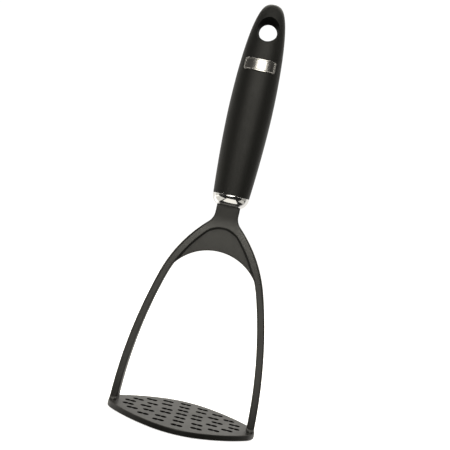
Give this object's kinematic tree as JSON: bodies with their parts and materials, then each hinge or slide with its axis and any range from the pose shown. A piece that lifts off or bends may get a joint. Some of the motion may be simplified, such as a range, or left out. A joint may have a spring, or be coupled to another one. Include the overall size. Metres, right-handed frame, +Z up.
{
  "type": "potato masher",
  "caption": "Hand masher: a flat perforated nylon plate under a two-armed yoke, with a metal-look collar and a soft-grip handle ending in a hanging hole.",
  "frame": {"origin": "centre of the plate's underside, on the surface that the masher stands on", "axes": "+Z up along the handle, +X along the plate's length towards one arm, -Y towards the side with the badge"},
  "size_m": [0.1024, 0.0726, 0.2897],
  "materials": {
    "nylon": "fine matt spark-eroded moulding",
    "bright_plating": "polished bright plating on moulded plastic",
    "pin_steel": "ground",
    "core_plastic": "plain moulded",
    "soft_grip": "satin soft-touch moulding",
    "adhesive": "thin foam adhesive pad"
  },
  "bodies": {
    "root": {"mash_plate": "nylon", "yoke": "nylon", "collar": "bright_plating", "tang_pin": "pin_steel", "handle_core": "core_plastic", "grip_sleeve": "soft_grip", "badge_pad": "adhesive", "badge": "bright_plating"}
  },
  "joints": []
}
